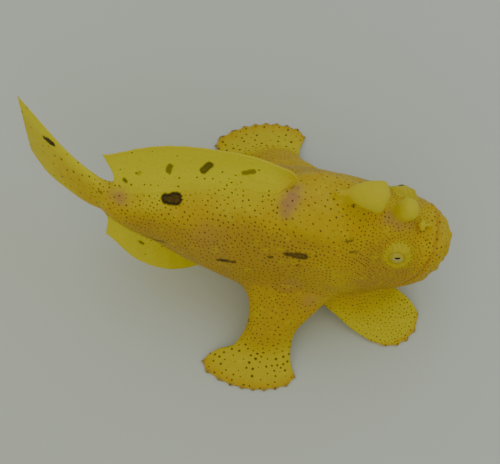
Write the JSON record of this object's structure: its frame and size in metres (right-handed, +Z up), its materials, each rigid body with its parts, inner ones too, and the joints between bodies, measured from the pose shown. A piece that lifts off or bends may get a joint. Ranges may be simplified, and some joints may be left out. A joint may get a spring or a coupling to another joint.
{
  "type": "frogfish model",
  "caption": "Life-size still model of a yellow frogfish standing on its four spread paired fins, tail curved to its left, mouth closed, lure folded back.",
  "frame": {"origin": "bottom centre of the bounding box, on the floor that the fins stand on", "axes": "+X towards the head, +Y towards the fish's left side, +Z up"},
  "size_m": [0.147, 0.0996, 0.0689],
  "materials": {
    "skin": "moist, finely grained fish skin, golden yellow with brown flecks",
    "fin_membrane": "thin ribbed fin skin, paler yellow towards the edge",
    "spine_skin": "smooth pale yellow skin",
    "eye": "wet and glossy"
  },
  "bodies": {
    "root": {"head": "skin", "lower_jaw": "skin", "torso": "skin", "tail_stalk": "skin", "caudal_fin": "fin_membrane", "dorsal_fin": "fin_membrane", "anal_fin": "fin_membrane", "dorsal_spine_first": "spine_skin", "dorsal_spine_second": "spine_skin", "dorsal_spine_third": "spine_skin", "pectoral_arm_left": "skin", "pectoral_arm_right": "skin", "pectoral_fin_left": "fin_membrane", "pectoral_fin_right": "fin_membrane", "pelvic_stalk_left": "skin", "pelvic_stalk_right": "skin", "pelvic_fin_left": "fin_membrane", "pelvic_fin_right": "fin_membrane", "eye_left": "eye", "eye_right": "eye"}
  },
  "joints": []
}
